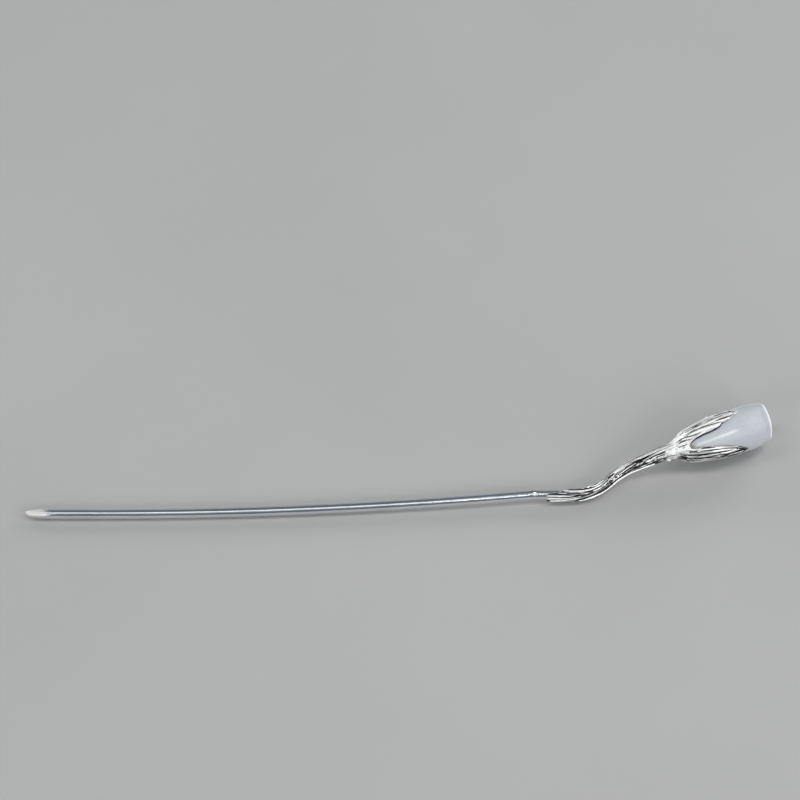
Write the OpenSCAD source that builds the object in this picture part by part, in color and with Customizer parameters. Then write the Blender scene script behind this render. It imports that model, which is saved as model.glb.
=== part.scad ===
// A hair stick of silver and jade, as it lies on a table: a tapered silver shaft, a twig that is covered
// in bark, and three sepals that hold a jade bud. The tip points along -X and the bud along +X.
// All sizes are in millimetres. Angles round the twig and the bud start at +Y and turn towards +Z.

/* [Shaft] */
// Diameter of the drawn shaft
shaft_d = 2.4; // [2.3:0.05:2.4]
// Diameter of the blunt tip
tip_d = 1.2; // [0.8:0.1:1.6]
// Length over which the shaft tapers to its tip
taper_len = 5.5; // [3:0.5:9]
// Slant of the worn cut across the tip, in degrees
tip_slant = 30; // [0:5:40]
// Length of the straight stretch behind the tip, taper included
straight_len = 18; // [12:1:30]
// Length of the long, slow bend, measured along X
bend_len = 103.6; // [80:0.1:120]
// Radius of the long bend
bend_r = 1000; // [800:10:1400]
// Tilt of the long bend, which lifts the shaft to the height of the bark, in degrees
bend_tilt = 6.3; // [6:0.1:8]
// Length of the stub behind the bend, most of it inside the bark
stub_len = 10.4; // [9:0.1:10.6]
// Diameter of the bead of metal where the stub meets the bend
bead_d = 2.55; // [2.5:0.05:2.8]

/* [Bark] */
// Gap round the stub in its socket
socket_gap = 0.04; // [0.03:0.01:0.06]
// How far the bark's mouth steps back from its tongue, on the far side of the stub
mouth_step = 5.5; // [0:0.5:6]
// Turn of the ridges along the twig, in degrees
bark_twist = 30; // [-40:5:40]
// Sideways wander of each ridge, in degrees
ridge_wander = 2.5; // [0:0.5:3]
// Raggedness of the sepals' edges, in degrees
edge_ragged = 1.5; // [0:0.5:2]

/* [Head] */
// Heading of the bud in plan, in degrees from +X
head_turn = 19.9; // [10:0.1:30]
// Rise of the bud's axis, in degrees
head_rise = 2.6; // [2:0.1:5]
// Gap between the bud and the silver
bud_gap = 0.12; // [0.1:0.01:0.15]
// Height of the bud's six soft edges, as a share of its radius
bud_edge = 0.015; // [0:0.005:0.025]
// How far the lower rim of the bud's end is worn back
end_slant = 0.6; // [0:0.1:1.2]
// Diameter of the hidden post that the bud sits on
post_d = 1.2; // [1:0.1:1.6]
// Length of the hidden post
post_len = 5; // [3:0.5:8]

/* [Hidden] */

// Smooth round walls of the shaft
round_steps = 96;
$fn = round_steps;
shaft_r = shaft_d / 2;

// End of the long bend, where the stub starts: the bend rises in a plane that is tilted about X
bend_angle = asin(bend_len / bend_r);
bend_rise = bend_r * (1 - cos(bend_angle));
bend_end = [
  straight_len + bend_len,
  bend_rise * cos(bend_tilt),
  shaft_r + bend_rise * sin(bend_tilt)
];

// Path of the twig from the end of the bend, through its S, to the base of the calyx.
// Columns: along X, along Y, along Z, radius over the ridges, depth of the grooves
TWIG = [
  [3.3, -0.15, -0.13, 1.62, 0.08],
  [7.2, -0.17, -0.13, 1.62, 0.08],
  [11.1, 0.14, -0.10, 1.58, 0.12],
  [14.0, 0.94, 0.07, 1.50, 0.20],
  [16.9, 2.40, 0.40, 1.43, 0.25],
  [19.8, 4.70, 0.95, 1.44, 0.27],
  [22.8, 6.80, 1.50, 1.48, 0.27],
  [25.8, 8.20, 2.00, 1.63, 0.29],
  [28.8, 9.25, 2.50, 1.76, 0.31],
  [33.1, 10.50, 3.15, 2.00, 0.32]
];

// Base of the calyx, below the notches between the sepals.
// Columns: distance along the head from its base, radius over the ridges, depth of the grooves
CALYX = [
  [1.2, 2.30, 0.30],
  [2.5, 2.85, 0.24],
  [3.6, 3.50, 0.24],
  [4.4, 3.92, 0.28]
];

// One sepal, from the notch at its side to its tip.
// Columns: distance along the head, half-width in degrees, thickness over the ridges
SEPAL = [
  [4.4, 60.0, 0.65],
  [5.2, 48.0, 0.63],
  [7.2, 41.0, 0.60],
  [9.8, 38.5, 0.56],
  [11.8, 35.0, 0.52],
  [12.9, 31.0, 0.49],
  [13.8, 26.0, 0.46],
  [15.4, 21.5, 0.41],
  [16.8, 13.0, 0.36],
  [17.9, 3.0, 0.30]
];
// The three sepals. Columns: direction that the sepal faces, lean of its tip, both in degrees
SEPALS = [
  [68, 3],
  [188, -1],
  [308, 3]
];

// Outline of the bud, from its seat to the middle of its domed end.
// Columns: distance along the head, radius
BUD = [
  [3.7, 2.20],
  [4.6, 3.00],
  [5.7, 3.60],
  [7.8, 4.10],
  [10.2, 4.60],
  [12.7, 5.00],
  [14.2, 5.17],
  [16.5, 5.40],
  [18.0, 5.52],
  [19.6, 5.60],
  [21.0, 5.58],
  [23.0, 5.32],
  [24.4, 5.04],
  [25.2, 4.88],
  [25.5, 4.72],
  [25.7, 4.40],
  [26.1, 3.00],
  [26.35, 1.50],
  [26.4, 0.00]
];
// Rim of the bud's end, where the wear starts, and the direction that is worn least, in degrees
rim_s = 25.5;
rim_r = 4.72;
slant_from = 22;
slant_to = 40;
// Direction of one of the bud's six soft edges, in degrees
bud_edge_at = 10;

// Small lumps on the bark, placed and measured along the path in rows of its table.
// Columns: place, direction in degrees, length, width in degrees, height
LUMPS = [
  [2.9, 40, 0.25, 22, 0.28],
  [5.2, 205, 0.30, 20, 0.15],
  [9.2, 214, 0.70, 28, 0.45],
  [9.6, 150, 0.90, 60, 0.22],
  [10.4, 45, 0.60, 25, 0.20]
];

// Mesh: columns in one sepal, three to a ridge, and rows along the twig and the sepals
ridge_cols = 3;
sepal_cols = 6 * ridge_cols;
ring_cols = len(SEPALS) * sepal_cols;
rows_per_station = 4;
rows_per_calyx_station = 2;
sepal_rows = 16;
// Rows of a sepal lie closer together near its notch, where this is over 1
row_spread = 1.3;
bud_cols = 48;

// Share of a groove's depth that each column of a ridge stands up
RIDGE = [0, 1, 0.55];
// Share of its thickness that a sepal loses at its sides, and of which its grooves are deep
side_thinning = 0.3;
sepal_groove = 0.4;

// Head frame
head_base = bend_end + [for (i = [0:2]) TWIG[len(TWIG) - 1][i]];
head_dir = [cos(head_rise) * cos(head_turn), cos(head_rise) * sin(head_turn), sin(head_rise)];
notch_s = SEPAL[0][0];
tip_s = SEPAL[len(SEPAL) - 1][0];
bud_seat = BUD[0][0];
cup_floor = bud_seat - bud_gap;
mesh_step = 0.01;

// Column c of a table against its first column, for lookup()
function column(rows, c) = [for (row = rows) [row[0], row[c]]];
// From 0 to 1, leaving and arriving level
function ease(v) = let (x = min(1, max(0, v))) x * x * (3 - 2 * x);
function unit(v) = v / norm(v);
// Smallest turn between two directions, in degrees
function turn(a, b) = abs(((a - b) % 360 + 540) % 360 - 180);

// A smooth curve through the rows of a table: t counts rows
function curve(rows, t) =
  let (
    last = len(rows) - 1,
    i = min(floor(t), last - 1),
    f = t - i,
    p0 = rows[max(i - 1, 0)],
    p1 = rows[i],
    p2 = rows[i + 1],
    p3 = rows[min(i + 2, last)]
  )
  p1 + f / 2 * (p2 - p0 + f * (2 * p0 - 5 * p1 + 4 * p2 - p3 + f * (3 * (p1 - p2) + p3 - p0)));

// The whole closed stretch of bark: the twig and the base of the calyx
PATH = concat(
  [for (row = TWIG) [row[0] + bend_end[0], row[1] + bend_end[1], row[2] + bend_end[2], row[3], row[4]]],
  [for (row = CALYX) let (p = head_base + row[0] * head_dir) [p[0], p[1], p[2], row[1], row[2]]]
);
path_last = len(PATH) - 1;
twig_last = len(TWIG) - 1;
function place(row) = [row[0], row[1], row[2]];

// A point at a radius and a direction round an axis
function around(centre, axis, radius, direction) =
  let (
    side = unit(cross([0, 0, 1], axis)),
    rise = cross(axis, side)
  )
  centre + radius * (cos(direction) * side + sin(direction) * rise);
function on_head(s, radius, direction) = around(head_base + s * head_dir, head_dir, radius, direction);

// Bud radius with its soft edges
function bud_radius(s, direction) =
  lookup(s, column(BUD, 1)) * (1 + bud_edge * cos(6 * (direction - bud_edge_at)));

// How far a point of the bud lies back from the end, which is worn more on one side
function slant(s, radius, direction) =
  end_slant * ease((s - slant_from) / (rim_s - slant_from))
    * pow(radius / rim_r, 2) * (1 - cos(direction - slant_to)) / 2;

// Depth of a groove's column below the ridges: each ridge swells and fades along its length
function groove(column_no, t) =
  let (
    ridge = floor(column_no / ridge_cols),
    swell = 0.7 + 0.3 * sin(73 * ridge + 95 * t)
  )
  1 - RIDGE[column_no % ridge_cols] * swell;
function wander(column_no, t) = ridge_wander * sin(100 * floor(column_no / ridge_cols) + 60 * t);
function lumps(t, direction) =
  max([for (lump = LUMPS)
    let (away = norm([(t - lump[0]) / lump[2], turn(direction, lump[1]) / lump[3]]))
    lump[4] * ease(1 - away)
  ]);

// Direction of a column of the closed stretch of bark
function bark_direction(c, t) =
  SEPALS[0][0] - 60 + 360 * c / ring_cols
    + bark_twist * (1 - ease(t / twig_last))
    + wander(c, t) * (1 - ease(t - path_last + 1));
// How far the mouth steps back at a direction, in rows of the table: its tongue faces -Y
function mouth_at(direction) =
  mouth_step / (TWIG[1][0] - TWIG[0][0]) * ease((turn(direction, 180) - 50) / 70);
// Rows near the mouth follow its edge, and the step fades over four rows of the table
mouth_fade = 4;
function bark_t(t, direction) = t + mouth_at(direction) * max(0, 1 - t / mouth_fade);

function bark_point(c, row_t) =
  let (
    direction = bark_direction(c, row_t),
    t = bark_t(row_t, direction),
    row = curve(PATH, t),
    axis = unit(place(curve(PATH, min(t + mesh_step, path_last)) - curve(PATH, max(t - mesh_step, 0)))),
    radius = row[3] - row[4] * groove(c, row_t) + lumps(t, direction)
  )
  around(place(row), axis, radius, direction);

// Socket wall, round the stub
socket_r = (shaft_r + socket_gap) / cos(180 / ring_cols);
function socket_point(c, x) =
  around([x, bend_end[1], bend_end[2]], [1, 0, 0], socket_r, bark_direction(c, 0));
function mouth_x(c) = bark_point(c, 0)[0];
socket_end = bend_end[0] + stub_len + socket_gap;

// Sepal walls: u runs from -1 to 1 across a sepal
function sepal_direction(k, c, s) =
  let (
    u = 2 * c / sepal_cols - 1,
    rise = (s - notch_s) / (tip_s - notch_s)
  )
  SEPALS[k][0] + SEPALS[k][1] * rise * rise + u * lookup(s, column(SEPAL, 1))
    + edge_ragged * u * u * ease(5 * rise) * sin(250 * s + 80 * k);
function sepal_thickness(c, s) =
  let (
    u = 2 * c / sepal_cols - 1,
    full = lookup(s, column(SEPAL, 2))
  )
  full * (1 - side_thinning * pow(u, 4)) - full * sepal_groove * groove(c, path_last + (s - notch_s) / 2);
function sepal_point(k, c, s, outside) =
  let (direction = sepal_direction(k, c, s))
  on_head(s, bud_radius(s, direction) + bud_gap + (outside ? sepal_thickness(c, s) : 0), direction);
function cup_point(c, s) =
  let (direction = bark_direction(c, path_last))
  on_head(s, bud_radius(s, direction) + bud_gap, direction);
function post_point(c, s) = on_head(s, post_d / 2, bark_direction(c, path_last));

// Rings of points from the bottom of the socket, out over the bark and the sepals, and in to the post
BARK_ROWS = concat(
  [for (i = [0:twig_last * rows_per_station]) i / rows_per_station],
  [for (i = [1:len(CALYX) * rows_per_calyx_station]) twig_last + i / rows_per_calyx_station]
);
SEPAL_ROWS = [for (i = [1:sepal_rows]) notch_s + pow(i / sepal_rows, row_spread) * (tip_s - notch_s)];
CUP_ROWS = [notch_s, cup_floor];
function ring(f) = [for (c = [0:ring_cols - 1]) f(c)];
function split_ring(f) = [for (k = [0:len(SEPALS) - 1]) for (c = [0:sepal_cols]) f(k, c)];
rings = concat(
  [ring(function (c) socket_point(c, socket_end)), ring(function (c) socket_point(c, mouth_x(c)))],
  [for (t = BARK_ROWS) ring(function (c) bark_point(c, t))],
  [for (s = SEPAL_ROWS) split_ring(function (k, c) sepal_point(k, c, s, true))],
  [for (i = [sepal_rows - 1:-1:0]) split_ring(function (k, c) sepal_point(k, c, SEPAL_ROWS[i], false))],
  [for (s = CUP_ROWS) ring(function (c) cup_point(c, s))],
  [ring(function (c) post_point(c, cup_floor)), ring(function (c) post_point(c, cup_floor + post_len))]
);
last_ring = len(rings) - 1;
// Last closed ring below the notches outside, and its partner inside
outer_notch = 1 + len(BARK_ROWS);
inner_notch = outer_notch + 2 * sepal_rows + 1;
function is_split(r) = r > outer_notch && r < inner_notch;
function points_before(r) = r == 0 ? 0 : points_before(r - 1) + len(rings[r - 1]);
ring_start = [for (r = [0:last_ring]) points_before(r)];
// Index of a point from its ring, its sepal and its column
function at(r, k, c) =
  ring_start[r] + (is_split(r) ? k * (sepal_cols + 1) + c : (k * sepal_cols + c) % ring_cols);
function quad(a, b, c, d) = [[a, b, c], [a, c, d]];

module twig_calyx() {
  points = [for (r = rings) each r];
  socket_centre = len(points);
  post_centre = socket_centre + 1;
  walls = [
    for (r = [0:last_ring - 1])
      for (k = [0:len(SEPALS) - 1])
        for (c = [0:sepal_cols - 1])
          each quad(at(r, k, c), at(r + 1, k, c), at(r + 1, k, c + 1), at(r, k, c + 1))
  ];
  sides = [
    for (i = [0:sepal_rows - 1])
      for (k = [0:len(SEPALS) - 1])
        let (
          near = outer_notch + i,
          far = inner_notch - i,
          end = sepal_cols
        )
        each concat(
          quad(at(near, k, 0), at(far, k, 0), at(far - 1, k, 0), at(near + 1, k, 0)),
          quad(at(near, k, end), at(near + 1, k, end), at(far - 1, k, end), at(far, k, end))
        )
  ];
  ends = [
    for (k = [0:len(SEPALS) - 1])
      for (c = [0:sepal_cols - 1])
        each [
          [socket_centre, at(0, k, c), at(0, k, c + 1)],
          [post_centre, at(last_ring, k, c + 1), at(last_ring, k, c)]
        ]
  ];
  color("silver")
    polyhedron(
      points = concat(
        points,
        [[socket_end, bend_end[1], bend_end[2]], head_base + (cup_floor + post_len) * head_dir]
      ),
      faces = concat(walls, sides, ends)
    );
}

// Distance and radius of each ring of the bud, from its domed end to its seat and up the hole for the post
hole_r = (post_d / 2 + bud_gap) / cos(180 / bud_cols);
bud_skin = [for (i = [len(BUD) - 2:-1:0]) BUD[i]];
bud_hole = [[bud_seat, hole_r], [bud_seat + post_len, hole_r]];
bud_directions = [for (c = [0:bud_cols - 1]) bud_edge_at + 360 * c / bud_cols];
bud_points = [
  for (row = bud_skin)
    for (a = bud_directions)
      on_head(row[0] - slant(row[0], row[1], a), bud_radius(row[0], a), a)
];

// The part's origin lies under the middle of its box, on the table
bud_end_x = max([for (p = bud_points) p[0]]);
bud_far_y = max([for (p = bud_points) p[1]]);
middle = [bud_end_x / 2, (bud_far_y - shaft_r) / 2, 0];

module jade_bud() {
  hole = [for (row = bud_hole) for (a = bud_directions) on_head(row[0], row[1], a)];
  ring_total = len(bud_skin) + len(bud_hole);
  end_centre = ring_total * bud_cols;
  hole_centre = end_centre + 1;
  function index(r, c) = r * bud_cols + c % bud_cols;
  walls = [
    for (r = [0:ring_total - 2])
      for (c = [0:bud_cols - 1])
        each quad(index(r, c), index(r, c + 1), index(r + 1, c + 1), index(r + 1, c))
  ];
  ends = [
    for (c = [0:bud_cols - 1])
      each [
        [end_centre, index(0, c + 1), index(0, c)],
        [hole_centre, index(ring_total - 1, c), index(ring_total - 1, c + 1)]
      ]
  ];
  color("aliceblue")
    polyhedron(
      points = concat(
        bud_points,
        hole,
        [head_base + BUD[len(BUD) - 1][0] * head_dir, head_base + bud_hole[1][0] * head_dir]
      ),
      faces = concat(walls, ends)
    );
}

// Half outline of the tapered tip and the straight stretch behind it, with a curved taper
tip_r = tip_d / 2;
taper_depth = shaft_r - tip_r;
taper_r = (taper_len * taper_len + taper_depth * taper_depth) / (2 * taper_depth);
taper_steps = 8;
module straight_outline() {
  taper = [
    for (i = [0:taper_steps])
      let (x = taper_len * i / taper_steps)
      [shaft_r - taper_r + sqrt(taper_r * taper_r - pow(taper_len - x, 2)), x]
  ];
  polygon(concat([[0, 0]], taper, [[shaft_r, straight_len], [0, straight_len]]));
}

module shaft() {
  // The cut across the tip leans with the view from the front and above
  cut_lean = -50;
  cut_size = 4 * shaft_d;
  arc_steps = 1440;
  color("silver") {
    difference() {
      translate([0, 0, shaft_r])
        rotate([0, 90, 0])
          rotate_extrude()
            straight_outline();
      translate([tip_r * tan(tip_slant), 0, shaft_r])
        rotate([cut_lean, 0, 0])
          rotate([0, -tip_slant, 0])
            translate([-cut_size, -cut_size / 2, -cut_size / 2])
              cube(cut_size);
    }
    translate([0, 0, shaft_r])
      rotate([bend_tilt, 0, 0])
        translate([straight_len, bend_r, 0])
          rotate([0, 0, -90])
            rotate_extrude(angle = bend_angle, $fn = arc_steps)
              translate([bend_r, 0])
                circle(r = shaft_r, $fn = round_steps);
    translate(bend_end)
      sphere(d = bead_d);
    translate(bend_end)
      rotate([0, 90, 0])
        cylinder(r = shaft_r, h = stub_len);
  }
}

translate(-middle) shaft();
translate(-middle) twig_calyx();
translate(-middle) jade_bud();
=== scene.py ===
import math

import bpy
import numpy as np
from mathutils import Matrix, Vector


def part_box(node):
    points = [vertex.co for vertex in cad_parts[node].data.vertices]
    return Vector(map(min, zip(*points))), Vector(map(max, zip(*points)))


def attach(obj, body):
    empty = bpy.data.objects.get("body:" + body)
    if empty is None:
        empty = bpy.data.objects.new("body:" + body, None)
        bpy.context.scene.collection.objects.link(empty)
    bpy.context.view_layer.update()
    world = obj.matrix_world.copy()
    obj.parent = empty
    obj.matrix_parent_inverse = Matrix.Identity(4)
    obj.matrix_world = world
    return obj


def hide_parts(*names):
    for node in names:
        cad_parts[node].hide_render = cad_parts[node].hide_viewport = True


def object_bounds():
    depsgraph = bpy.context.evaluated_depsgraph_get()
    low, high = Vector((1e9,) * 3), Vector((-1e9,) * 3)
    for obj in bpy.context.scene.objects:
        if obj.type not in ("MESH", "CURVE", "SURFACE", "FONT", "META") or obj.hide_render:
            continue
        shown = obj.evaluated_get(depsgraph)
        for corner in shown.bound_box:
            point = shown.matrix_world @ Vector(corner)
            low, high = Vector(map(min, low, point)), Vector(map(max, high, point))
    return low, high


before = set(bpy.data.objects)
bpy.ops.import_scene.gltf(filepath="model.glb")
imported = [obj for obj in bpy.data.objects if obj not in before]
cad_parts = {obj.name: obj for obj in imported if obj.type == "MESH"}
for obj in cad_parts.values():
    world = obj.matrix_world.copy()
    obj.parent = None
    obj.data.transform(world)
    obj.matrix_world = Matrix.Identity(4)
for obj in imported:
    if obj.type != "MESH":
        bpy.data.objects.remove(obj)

# The looks of a hair stick: a polished silver shaft, a twig covered in bark, and three sepals round a
# bud of white jade. Shapes are worked out in millimetres, with the tip of the shaft at x = 0, and the
# tables of the main forms are those of the part's source. Directions round the twig and the bud start
# at +Y and turn towards +Z, so direction 130 faces the camera.

CAD_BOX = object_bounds()
MM = 0.001

# Sizes of the shaft, with the bead of metal at the end of its bend
SHAFT_R = 1.2
TIP_R = 0.6
TAPER_LEN = 5.5
TIP_SLANT = math.radians(30)
CUT_LEAN = math.radians(-50)
STRAIGHT_LEN = 18.0
BEND_LEN = 103.6
BEND_R = 1000.0
BEND_TILT = math.radians(6.3)
STUB_LEN = 10.4
BEAD_R = 1.275

BEND_RISE = BEND_R - math.sqrt(BEND_R ** 2 - BEND_LEN ** 2)
BEND_END = np.array([
    STRAIGHT_LEN + BEND_LEN,
    BEND_RISE * math.cos(BEND_TILT),
    SHAFT_R + BEND_RISE * math.sin(BEND_TILT),
])

# Path of the twig from the end of the bend to the base of the calyx.
# Columns: along X, along Y, along Z, radius over the ridges
TWIG = np.array([
    [3.3, -0.15, -0.13, 1.62], [7.2, -0.17, -0.13, 1.62], [11.1, 0.14, -0.1, 1.58], [14, 0.94, 0.07, 1.5],
    [16.9, 2.4, 0.4, 1.43], [19.8, 4.7, 0.95, 1.44], [22.8, 6.8, 1.5, 1.48], [25.8, 8.2, 2, 1.63],
    [28.8, 9.25, 2.5, 1.76], [33.1, 10.5, 3.15, 2],
])

# Base of the calyx. Columns: distance along the head from its base, radius over the ridges
CALYX = np.array([
    [1.2, 2.3], [2.5, 2.85], [3.6, 3.5], [4.4, 3.92],
])

# Thickness of a sepal over its ridges. Columns: distance along the head, thickness
SEPAL_THICK = np.array([
    [4.4, 0.65], [5.2, 0.63], [7.2, 0.6], [9.8, 0.56], [11.8, 0.52], [12.9, 0.49], [13.8, 0.46],
    [15.4, 0.41], [16.8, 0.36], [17.9, 0.28], [18.4, 0.18],
])

# Side edges of the three sepals. Columns: distance along the head, direction of one edge, of the other
SEPAL_EDGES = [
    [[4.4, 8, 128], [4.6, 11, 123], [5.05, 16, 117], [5.6, 22, 113], [6.55, 26, 109], [8.15, 28, 106.5],
     [9.95, 30, 105.5], [11.5, 33, 103.5], [12.05, 35, 102.5], [12.8, 38, 100], [13.2, 40, 97.5],
     [13.45, 43, 93], [13.6, 45, 92.5], [14.9, 50, 91.5], [15.9, 53, 89], [16.3, 56, 86], [16.9, 62, 83],
     [17.5, 68, 80.5], [17.9, 73, 79.5], [18.4, 76.5, 78.5]],
    [[4.4, 128, 248], [4.6, 137, 244], [5, 140, 239], [5.8, 141.5, 235], [7.1, 144.5, 231],
     [8.6, 146.5, 229.5], [9.8, 149, 228], [11.65, 153, 224], [12.6, 155.5, 221], [13.6, 158.5, 213],
     [14.85, 162, 209], [15.8, 167, 205], [16.5, 170, 199], [17.1, 173.5, 193], [17.6, 177, 187],
     [18.35, 181.5, 183.5]],
    [[4.4, 248, 368], [4.8, 256, 361], [5.5, 262, 354], [7.2, 267, 349], [9.8, 270, 347],
     [11.8, 274, 344], [12.9, 277.5, 340], [13.8, 284, 335], [15.4, 289.5, 331], [16.8, 299, 324],
     [17.9, 309, 314], [18.35, 311, 313]],
]

# Outline of the bud from its seat to the middle of its domed end.
# Columns: distance along the head, radius
BUD = np.array([
    [3.7, 2.2], [4.6, 3], [5.7, 3.6], [7.8, 4.1], [10.2, 4.6], [12.7, 5], [14.2, 5.17],
    [16.5, 5.4], [18, 5.52], [19.6, 5.6], [21, 5.58], [23, 5.32], [24.4, 5.04], [25.2, 4.88],
    [25.5, 4.72], [25.7, 4.4], [26.1, 3], [26.35, 1.5], [26.4, 0],
])
# Its six soft edges: their depth as a share of the radius, and the direction of the first
BUD_EDGE = 0.015
BUD_EDGE_AT = 10
# Rim of its end, which slants away from direction 40, and how much smaller the bud is here
RIM_S = 25.5
RIM_R = 4.72
SLANT_FROM = 22.0
SLANT_TO = 40
END_SLANT = 0.6
BUD_INSET = 0.03

# Line of the head: the calyx and the bud
HEAD_TURN = math.radians(19.9)
HEAD_RISE = math.radians(2.6)
HEAD_BASE = BEND_END + TWIG[-1, :3]
HEAD_DIR = np.array([
    math.cos(HEAD_RISE) * math.cos(HEAD_TURN),
    math.cos(HEAD_RISE) * math.sin(HEAD_TURN),
    math.sin(HEAD_RISE),
])

# How far the bark's mouth steps back from its tongue. Columns: direction, step
MOUTH = np.array([
    [0, 5.5], [18, 5.2], [24, 5.6], [44, 5.1], [52, 5.5], [66, 4.6], [74, 4.4], [80, 3.6], [88, 3.5],
    [93, 2.9], [100, 2.1], [106, 1.9], [112, 1.2], [118, 0.35], [124, 0.1], [140, 0], [158, 0.1],
    [164, 0.45], [168, 0.5], [172, 0.2], [188, 0.1], [200, 0.3], [212, 0.2], [230, 0.6], [244, 0.9],
    [256, 1.7], [270, 2.5], [284, 3.9], [300, 5.2], [316, 5.6], [334, 5.2], [348, 5.7], [360, 5.5],
])

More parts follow.
